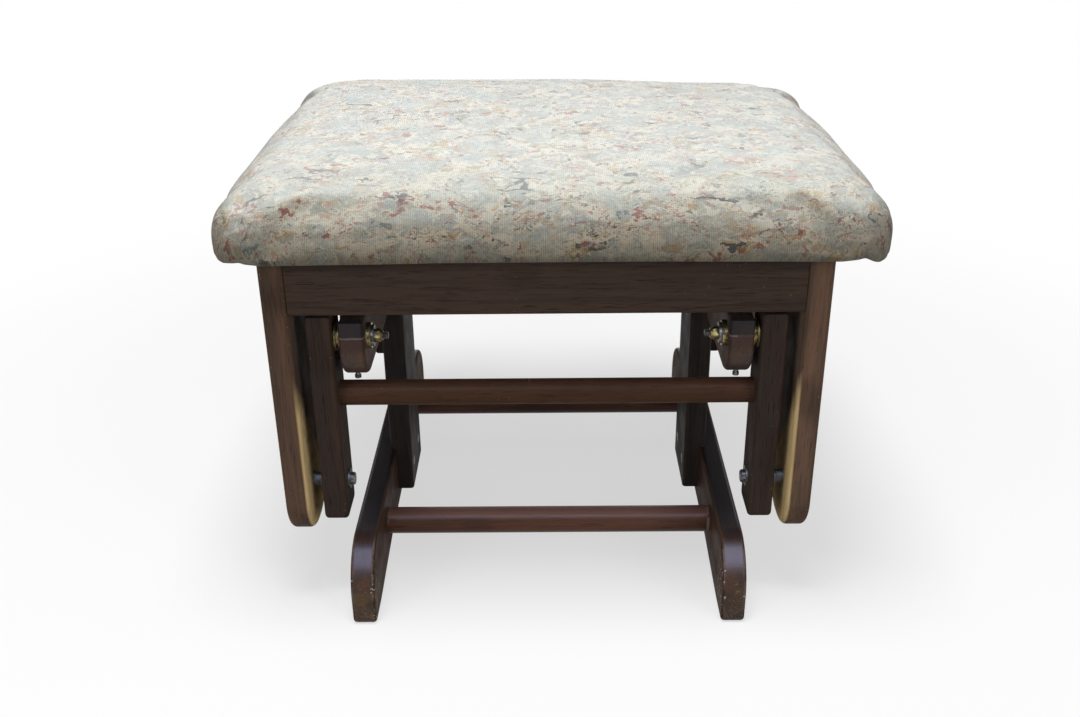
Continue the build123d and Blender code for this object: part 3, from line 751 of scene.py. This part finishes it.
def cushion_blank():
    """The foam's form with the board's recess filled, as one even closed mesh."""
    blank = merged_copy("cushion_foam", "cushion")
    middle = (BOARD_LOW + BOARD_HIGH) / 2
    top = BOARD_HIGH.z + FILLER_OVER
    deselect_all()
    bpy.ops.mesh.primitive_cube_add(size=1, location=(middle.x, middle.y, (FOAM_LOW.z + top) / 2))
    filler = bpy.context.object
    filler.scale = (
        BOARD_HIGH.x - BOARD_LOW.x + FILLER_ROUND,
        BOARD_HIGH.y - BOARD_LOW.y + FILLER_ROUND,
        top - FOAM_LOW.z,
    )
    settle(filler, "filler")
    deselect_all()
    filler.select_set(True)
    blank.select_set(True)
    bpy.context.view_layer.objects.active = blank
    bpy.ops.object.join()
    remesh = blank.modifiers.new("even", "REMESH")
    remesh.mode = "VOXEL"
    remesh.voxel_size = VOXEL
    apply_all(blank)
    return blank


def swell(cushion):
    """Blow the cushion up like stuffed cloth, with its underside held flat by the board."""
    start = mesh_points(cushion.data)
    held = cushion.vertex_groups.new(name="held")
    under = np.nonzero(start[:, 2] < FOAM_LOW.z + HELD_HEIGHT)[0]
    held.add([int(i) for i in under], 1.0, "REPLACE")
    cloth = cushion.modifiers.new("cloth", "CLOTH")
    cloth.settings.quality = 5
    cloth.settings.mass = 0.3
    cloth.settings.tension_stiffness = 15
    cloth.settings.compression_stiffness = 15
    cloth.settings.shear_stiffness = 8
    cloth.settings.bending_stiffness = 1.5
    cloth.settings.use_pressure = True
    cloth.settings.uniform_pressure_force = 4
    cloth.settings.effector_weights.gravity = 0
    cloth.settings.vertex_group_mass = "held"
    cloth.point_cache.frame_start = 1
    cloth.point_cache.frame_end = SWELL_FRAMES
    for number in range(1, SWELL_FRAMES + 1):
        bpy.context.scene.frame_set(number)
    depsgraph = bpy.context.evaluated_depsgraph_get()
    swollen = mesh_points(cushion.evaluated_get(depsgraph).data)
    move = swollen - start
    move[:, :2] *= SWELL_ACROSS
    length = np.linalg.norm(move, axis=1, keepdims=True)
    move *= np.tanh(length / SWELL_LIMIT) * SWELL_LIMIT / np.maximum(length, 1e-9)
    cushion.modifiers.clear()
    move_points(cushion.data, start + move)
    bpy.context.scene.frame_set(1)


def fit_to_cover(cushion):
    """Stretch the cushion evenly so that it is as wide, deep and high as the cover."""
    points = mesh_points(cushion.data)
    low, high = points.min(axis=0), points.max(axis=0)
    goal_low, goal_high = np.array(COVER_LOW), np.array(COVER_HIGH)
    points = goal_low + (points - low) * (goal_high - goal_low) / (high - low)
    move_points(cushion.data, points)


def smooth_step(value, low, high):
    """The same smooth step as the materials' band, for an array."""
    share = np.clip((value - low) / (high - low), 0, 1)
    return share * share * (3 - 2 * share)


def slacken(cushion):
    """Round the cushion's shoulders, bow its sides out and let its edge hang as on the real one."""
    points = mesh_points(cushion.data)
    x, y, z = points.T.copy()
    low, high = COVER_LOW.z, COVER_HIGH.z
    half = (np.array(COVER_HIGH) - np.array(COVER_LOW))[:2] / 2
    beyond = np.maximum(abs(points[:, :2]) - (half - CORNER), 0)
    # Shoulders: what is near the front and rear outline comes down towards the belly.
    near = np.maximum(CORNER - np.linalg.norm(beyond * SHOULDER_TURN, axis=1), 0)
    near = np.where(beyond[:, 1] > 0, near, CORNER)
    share = SHOULDER_DROP * np.clip(1 - near / SHOULDER, 0, 1) ** 2
    belly = low + BELLY
    height = np.where(z > belly, z - (z - belly) * share, z)
    # Lower edge: pulled up on the rails between the corners, and slack outside the legs.
    outer = np.maximum(smooth_step(abs(y), *PAST_APRON), smooth_step(abs(x), *PAST_LEGS))
    lift = np.interp(abs(x), HEM_PLACES, HEM_LIFTS)
    lift = np.where(abs(y) > CORNERS_FROM, lift, RAIL_LIFT)
    lift -= RIGHT_SAG * smooth_step(x, 0.240, 0.256) * smooth_step(y, -0.10, -0.17)
    height += outer * smooth_step(z, low + HEM_FADE, low) * lift
    # The stuffing stands higher along the rear edge, on the left.
    rear = smooth_step(z, high - 0.035, high) * smooth_step(y, -0.10, 0.17)
    height += rear * PLUMP * smooth_step(x, 0.21, 0.0)
    # Sides: bowed out between the corners, and a little less at the lower edge.
    bow = 1 - smooth_step(abs(y + 0.02), 0.05, 0.205)
    rise = 0.4 + 0.6 * smooth_step(z, low, low + 0.02)
    points[:, 0] += np.sign(x) * SIDE_BOW * bow * smooth_step(abs(x), 0.12, 0.25) * rise
    points[:, 0] += CUSHION_SHIFT + FRONT_SHIFT * smooth_step(y, 0.0, -0.2)
    points[:, 2] = height
    move_points(cushion.data, points)


def finish_cushion(cushion):
    """Smooth the cloth, and open its underside to the board."""
    smooth = cushion.modifiers.new("smooth", "SUBSURF")
    smooth.levels = smooth.render_levels = 1
    apply_all(cushion)
    fit_to_cover(cushion)
    slacken(cushion)
    deselect_all()
    bpy.ops.mesh.primitive_cube_add(size=1, location=(0, 0, BOARD_LOW.z))
    cutter = bpy.context.object
    cutter.scale = (
        COVER_HIGH.x - COVER_LOW.x - 2 * UNDER_MARGIN,
        COVER_HIGH.y - COVER_LOW.y - 2 * UNDER_MARGIN,
        2 * COVER_THICKNESS + 0.008,
    )
    settle(cutter, "opening_cutter")
    bpy.ops.object.mode_set(mode="EDIT")
    select_edges(cutter, lambda a, b: abs(a.z - b.z) > 0.001)
    bpy.ops.mesh.bevel(offset=OPENING_CORNER, segments=6)
    bpy.ops.object.mode_set(mode="OBJECT")
    cut = cushion.modifiers.new("opening", "BOOLEAN")
    cut.operation = "DIFFERENCE"
    cut.object = cutter
    apply_all(cushion)
    bpy.data.objects.remove(cutter)
    pick(cushion)
    bpy.ops.object.shade_smooth_by_angle(angle=radians(50))


def lay_cloth_map(cushion):
    """Unroll the cover over the top and down the sides, so that its ribs run as on the real one."""
    mesh = cushion.data
    points = mesh_points(mesh)
    half_x = (COVER_HIGH.x - COVER_LOW.x) / 2
    half_y = (COVER_HIGH.y - COVER_LOW.y) / 2
    flat = points[:, :2]
    core = np.array((half_x - CLOTH_TURN, half_y - CLOTH_TURN))
    out = flat - np.clip(flat, -core, core)
    far = np.linalg.norm(out, axis=1, keepdims=True)
    direction = out / np.maximum(far, 1e-6)
    drop = COVER_HIGH.z - points[:, 2:3]
    cloth = flat + direction * drop * smooth_step(far, 0, CLOTH_TURN)
    while mesh.uv_layers:
        mesh.uv_layers.remove(mesh.uv_layers[0])
    unrolled = mesh.uv_layers.new(name="cloth")
    corners = np.empty(len(mesh.loops), dtype=np.int32)
    mesh.loops.foreach_get("vertex_index", corners)
    unrolled.data.foreach_set("uv", cloth[corners].astype(np.float32).ravel())


RIB = 0.00165          # from one upright rib to the next
PICK = 0.0007          # from one thread across to the next

# The pattern is laid out in millimetres on the unrolled cloth.
THREAD_GRID = (0.8, 0.7, 1.0)
WANDER = 34.0
DIAMOND_WIDTH, DIAMOND_DEPTH = 118, 92
BLUE, SAGE, MIST = (0.45, 0.52, 0.53), (0.53, 0.54, 0.46), (0.62, 0.65, 0.60)
CREAM, PETAL = (0.72, 0.69, 0.60), (0.80, 0.77, 0.68)
# the last colour here is painted shade, for the valleys between the ribs
PALE_THREAD, DARK_THREAD, RIB_VALLEY_SHADE = (0.80, 0.79, 0.74), (0.20, 0.19, 0.17), (0.17, 0.16, 0.13)
# painted light and shade: the first paints the up-facing top paler, the second multiplies the sides darker
TOP_PAINTED_PALER, SIDE_SHADE = (0.64, 0.66, 0.64), (0.47, 0.435, 0.395)
# the first is painted shade on the front of the top; the second darkens the lower edge with painted shade
# and soiling
FRONT_TOP_SHADE, SOILED_AND_SHADED = (0.87, 0.87, 0.84), (0.115, 0.090, 0.040)
FLECKS = (
    # colour, scale, where it starts, stretch across, offset, how strong
    ((0.80, 0.77, 0.66), 0.042, 0.548, 0.9, 83, 0.75),
    ((0.34, 0.40, 0.43), 0.045, 0.580, 0.9, 73, 0.65),
    ((0.36, 0.34, 0.21), 0.050, 0.605, 0.8, 11, 0.50),
    ((0.40, 0.36, 0.41), 0.090, 0.630, 0.9, 19, 0.50),
    ((0.55, 0.39, 0.17), 0.060, 0.615, 0.7, 23, 0.78),
    ((0.60, 0.36, 0.29), 0.072, 0.625, 0.6, 59, 0.70),
    ((0.82, 0.79, 0.69), 0.100, 0.620, 0.7, 29, 0.80),
    ((0.38, 0.11, 0.11), 0.080, 0.635, 0.7, 37, 0.90),
    ((0.05, 0.08, 0.10), 0.066, 0.655, 0.6, 67, 0.94),
    ((0.44, 0.17, 0.14), 0.140, 0.655, 0.8, 43, 0.80),
    ((0.12, 0.14, 0.14), 0.150, 0.655, 0.6, 97, 0.80),
)
STEMS = (
    # colour, scale, offset, half the width
    ((0.20, 0.22, 0.22), 0.075, 5, 0.010),
    ((0.36, 0.17, 0.13), 0.090, 8, 0.008),
)


def lay_garlands(cloth, threads):
    """Lay a trellis of cream garlands on blue and sage, and give the warped place and the trellis."""
    wander = cloth.noise(threads, 0.045, detail=3, roughness=0.6, colour=True)
    wander = cloth.vector("SCALE", cloth.vector("SUBTRACT", wander, (0.5, 0.5, 0.5)), scale=WANDER)
    moved = cloth.vector("ADD", threads, wander)
    x, y, _ = cloth.axes(moved)
    # Two slanting families of lines make a trellis of diamonds.
    across = cloth.both(x, pi / DIAMOND_WIDTH)
    down = cloth.both(y, pi / DIAMOND_DEPTH)
    rising = cloth.math("ABSOLUTE", cloth.math("SINE", cloth.math("ADD", across, down)))
    falling = cloth.math("ABSOLUTE", cloth.math("SINE", cloth.math("SUBTRACT", across, down)))
    ragged = cloth.noise(moved, 0.11, detail=4, roughness=0.7)
    ragged = cloth.both(cloth.math("SUBTRACT", ragged, 0.5), 1.1)
    trellis = cloth.math("ADD", cloth.math("MINIMUM", rising, falling), ragged)
    cloth.colour = cloth.mix(BLUE, SAGE, cloth.band(cloth.noise(threads, 0.03, detail=3), 0.40, 0.62))
    mottle = cloth.noise(moved, 0.22, detail=4, roughness=0.75)
    cloth.lay(MIST, cloth.band(mottle, 0.46, 0.60))
    cloth.lay(CREAM, cloth.band(trellis, 0.46, 0.26, 0.0, 0.85))
    petals = cloth.noise(moved, 0.12, detail=4, roughness=0.7)
    cloth.lay(PETAL, cloth.band(petals, 0.55, 0.58), 0.85)
    return moved, trellis


def strew_flecks(cloth, moved, trellis):
    """Strew flecks and curling stems, thick along the trellis and sparse between."""
    sprays = cloth.band(cloth.noise(moved, 0.030), 0.42, 0.58, 0.35, 1.0)
    sprays = cloth.math("MAXIMUM", sprays, cloth.band(trellis, 0.55, 0.25, 0.1, 1.0))
    for tint, scale, start, stretch, offset, strength in FLECKS:
        spot = cloth.mapped(moved, scale=(stretch, 1, 1), location=(offset * 13.1, offset * 7.7, offset))
        shape = cloth.noise(spot, scale, distortion=1.4)
        cloth.lay(tint, cloth.band(shape, start, start + 0.010), sprays, strength)
    # A stem is where a noise crosses its middle, broken up.
    for tint, scale, offset, width in STEMS:
        spot = cloth.mapped(moved, location=(offset * 31.0, offset * 17.0, offset))
        level = cloth.math("ABSOLUTE", cloth.math("SUBTRACT", cloth.noise(spot, scale), 0.5))
        broken = cloth.band(cloth.noise(spot, 0.05), 0.50, 0.56)
        cloth.lay(tint, cloth.band(level, width, width * 0.5), broken, 0.75)


def show_threads(cloth, threads):
    """Show the threads, and the ribs that run front to back with painted shade in the valleys between
    them, and give their height.
    """
    thread = cloth.noise(threads, 3.1, detail=1)
    cloth.lay(PALE_THREAD, cloth.band(thread, 0.55, 0.75), 0.30)
    cloth.lay(DARK_THREAD, cloth.band(thread, 0.45, 0.25), 0.22)
    u, v, _ = cloth.axes(cloth.unrolled)
    rib = cloth.math("ABSOLUTE", cloth.math("SINE", cloth.both(u, pi / RIB)))
    weft = cloth.math("ABSOLUTE", cloth.math("SINE", cloth.both(v, pi / PICK)))
    # Painted shade in the valleys between the ribs.
    cloth.lay(RIB_VALLEY_SHADE, cloth.band(rib, 0.42, 0.0, 0.0, 0.42))
    height = cloth.math("ADD", rib, cloth.both(weft, 0.25))
    return cloth.math("ADD", height, cloth.both(thread, 0.5))


def light_and_soil_cloth(cloth):
    """Paint the top paler and the sides darker as light falls from above, paint shade on the front of the
    top, and darken the lower edge with painted shade and soiling.
    """
    upward = cloth.axes(cloth.normal)[2]
    # Painted light: the up-facing top is laid paler.
    cloth.lay(TOP_PAINTED_PALER, cloth.band(upward, 0.60, 0.98, 0.0, 0.36))
    # Painted shade: the sides are darker.
    cloth.tint(SIDE_SHADE, cloth.band(upward, 0.990, 0.56))
    _, y, z = cloth.axes(cloth.place)
    # Painted shade towards the front of the top.
    cloth.tint(FRONT_TOP_SHADE, cloth.band(y, -0.10, -0.19))
    patchy = cloth.noise(cloth.place, 24, detail=4, roughness=0.6)
    level = cloth.math("ADD", z, cloth.both(patchy, 0.022))
    # Darker towards the lower edge: painted shade, and soiling.
    cloth.lay(SOILED_AND_SHADED, cloth.band(level, COVER_LOW.z + 0.046, COVER_LOW.z + 0.014), 0.24)


def tapestry():
    """A woven flowery trellis: cream garlands on pale blue, with flecks of many colours."""
    cloth = Finish("tapestry_weave")
    flat = cloth.mapped(cloth.unrolled, scale=(1000, 1000, 1000))
    threads = cloth.vector("SNAP", flat, THREAD_GRID)
    moved, trellis = lay_garlands(cloth, threads)
    strew_flecks(cloth, moved, trellis)
    height = show_threads(cloth, threads)
    light_and_soil_cloth(cloth)
    cloth.surface(
        Base_Color=cloth.colour,
        Roughness=0.88,
        Specular_IOR_Level=0.15,
        Sheen_Weight=0.12,
        Sheen_Roughness=0.5,
        Normal=cloth.bump(height, 0.00035, 0.6),
    )
    return cloth


cushion = cushion_blank()
swell(cushion)
finish_cushion(cushion)
lay_cloth_map(cushion)
dress(tapestry(), cushion)
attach(cushion, "seat")
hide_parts("cushion_cover", "cushion_foam")


# ---------------------------------------------------------------- floor, light and camera

WHITE = (1, 1, 1)
FLOOR_LIT = (0.22, 0.22, 0.22)     # for the light that it throws back
FLOOR_SEEN = (0.88, 0.88, 0.88)    # for the camera
SKY_LIGHT = 0.25


def white_rays(tree):
    """One where a camera, mirror or glass ray looks, and nothing elsewhere."""
    path = tree.nodes.new("ShaderNodeLightPath")
    most = path.outputs["Is Camera Ray"]
    for other in ("Is Glossy Ray", "Is Transmission Ray"):
        larger = tree.nodes.new("ShaderNodeMath")
        larger.operation = "MAXIMUM"
        tree.links.new(most, larger.inputs[0])
        tree.links.new(path.outputs[other], larger.inputs[1])
        most = larger.outputs[0]
    return most


def paper_floor():
    """A floor that looks white and keeps the shadow."""
    deselect_all()
    bpy.ops.mesh.primitive_plane_add(size=14, location=(0, 0, 0))
    floor = settle(bpy.context.object, "floor")
    paper = Finish("pale_paper")
    tree = paper.tree
    seen = white_rays(tree)
    paper.surface(
        Base_Color=paper.mix(FLOOR_LIT, FLOOR_SEEN, seen),
        Roughness=0.9,
        Specular_IOR_Level=0.1,
    )
    glow = tree.nodes.new("ShaderNodeEmission")
    paper.feed(glow.inputs["Color"], WHITE)
    distance = paper.vector("LENGTH", paper.place).node.outputs["Value"]
    mixed = tree.nodes.new("ShaderNodeMixShader")
    paper.feed(mixed.inputs[0], paper.both(seen, paper.band(distance, 0.30, 1.1, 0.60, 1.0)))
    paper.feed(mixed.inputs[1], paper.shader.outputs[0])
    paper.feed(mixed.inputs[2], glow.outputs[0])
    output = next(node for node in tree.nodes if node.type == "OUTPUT_MATERIAL")
    tree.links.new(mixed.outputs[0], output.inputs["Surface"])
    dress(paper, floor)
    floor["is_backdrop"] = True


def even_sky():
    """A weak even light from all round, which looks white."""
    world = bpy.data.worlds.new("even_sky")
    world.use_nodes = True
    bpy.context.scene.world = world
    tree = world.node_tree
    tree.nodes.clear()
    mixed = tree.nodes.new("ShaderNodeMixShader")
    tree.links.new(white_rays(tree), mixed.inputs[0])
    for socket, strength in zip(mixed.inputs[1:], (SKY_LIGHT, 1.0)):
        sky = tree.nodes.new("ShaderNodeBackground")
        sky.inputs["Color"].default_value = (*WHITE, 1)
        sky.inputs["Strength"].default_value = strength
        tree.links.new(sky.outputs[0], socket)
    output = tree.nodes.new("ShaderNodeOutputWorld")
    tree.links.new(mixed.outputs[0], output.inputs["Surface"])


def lamp(name, place, aim, size, watts):
    """A square area light that faces a point."""
    data = bpy.data.lights.new(name, "AREA")
    data.size = size
    data.energy = watts
    light = bpy.data.objects.new(name, data)
    bpy.context.scene.collection.objects.link(light)
    light.location = place
    light.rotation_euler = (Vector(aim) - Vector(place)).to_track_quat("-Z", "Y").to_euler()
    return light


def lamps():
    """A key light overhead, a weak fill at each side, and a cool window that only glossy finishes show."""
    lamp("key", (-0.1, -0.35, 2.30), (0, 0, 0.30), 0.8, 40).visible_glossy = False
    for side in SIDES.values():
        lamp("fill", (side * 1.5, -1.7, 0.9), (0, 0, 0.15), 1.0, 10)
    window = lamp("window", (0, -0.85, 1.95), (0, -0.2, 0.05), 2.3, 85)
    window.data.color = (0.62, 0.72, 1.0)
    window.visible_diffuse = False


CAMERA_PLACE = Vector((0.0028, -1.0509, 0.6612))
CAMERA_PITCH = radians(25.89)      # down from level
CAMERA_YAW = radians(-0.54)
CAMERA_ROLL = radians(-0.66)
FOCAL_PIXELS = 1160.0
IMAGE_WIDTH = 1080.0
SENSOR = 36.0


def aim_camera():
    """Stand the camera where the photograph was taken from."""
    forward = Vector((
        sin(CAMERA_YAW) * cos(CAMERA_PITCH),
        cos(CAMERA_YAW) * cos(CAMERA_PITCH),
        -sin(CAMERA_PITCH),
    ))
    level = Vector((cos(CAMERA_YAW), -sin(CAMERA_YAW), 0))
    upright = level.cross(forward)
    right = level * cos(CAMERA_ROLL) + upright * sin(CAMERA_ROLL)
    up = upright * cos(CAMERA_ROLL) - level * sin(CAMERA_ROLL)
    data = bpy.data.cameras.new("camera")
    data.sensor_width = SENSOR
    data.lens = FOCAL_PIXELS / IMAGE_WIDTH * SENSOR
    camera = bpy.data.objects.new("camera", data)
    bpy.context.scene.collection.objects.link(camera)
    turn = Matrix((right, up, -forward)).transposed().to_4x4()
    camera.matrix_world = Matrix.Translation(CAMERA_PLACE) @ turn
    bpy.context.scene.camera = camera


paper_floor()
even_sky()
lamps()
aim_camera()
bpy.context.scene.view_settings.view_transform = "Standard"

boxes = {"cad": cad_box, "visual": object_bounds()}
for name, corners in boxes.items():
    boxes[name] = [[float(number) for number in corner] for corner in corners]
